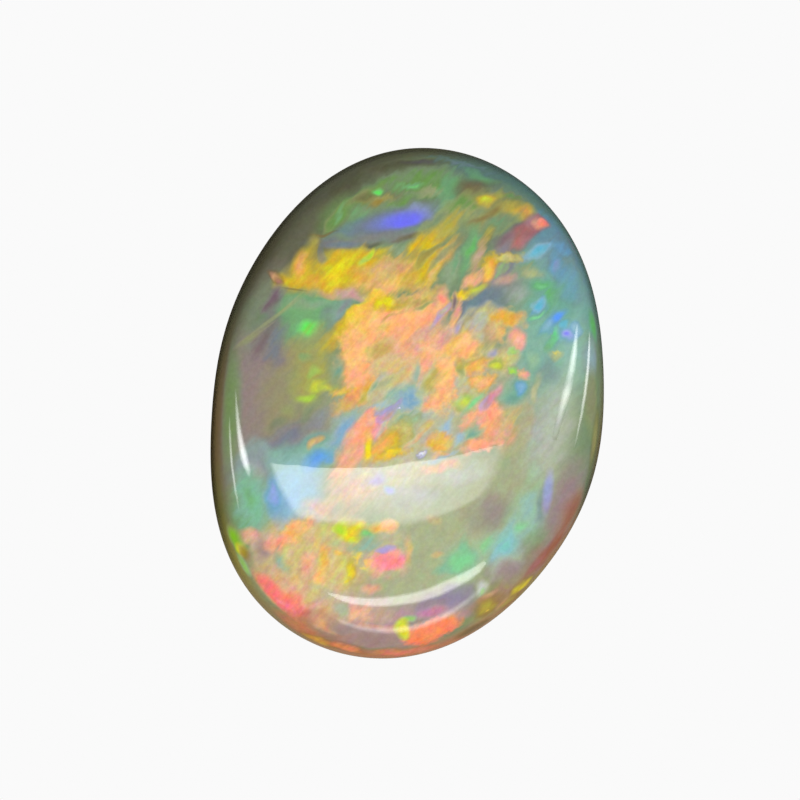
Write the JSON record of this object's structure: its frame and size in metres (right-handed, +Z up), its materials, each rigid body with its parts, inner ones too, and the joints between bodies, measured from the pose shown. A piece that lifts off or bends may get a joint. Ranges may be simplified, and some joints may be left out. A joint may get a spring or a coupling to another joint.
{
  "type": "opal cabochon",
  "caption": "Oval polished opal cabochon with a domed face full of broken play of colour, a rounded girdle and a flat ground back it rests on.",
  "frame": {"origin": "middle of the flat back, on the surface the stone rests on", "axes": "+Z up out of the domed face, +Y along the oval's long axis, +X across it"},
  "size_m": [0.014, 0.0184, 0.0062],
  "materials": {
    "opal": "polished"
  },
  "bodies": {
    "root": {"opal": "opal"}
  },
  "joints": []
}
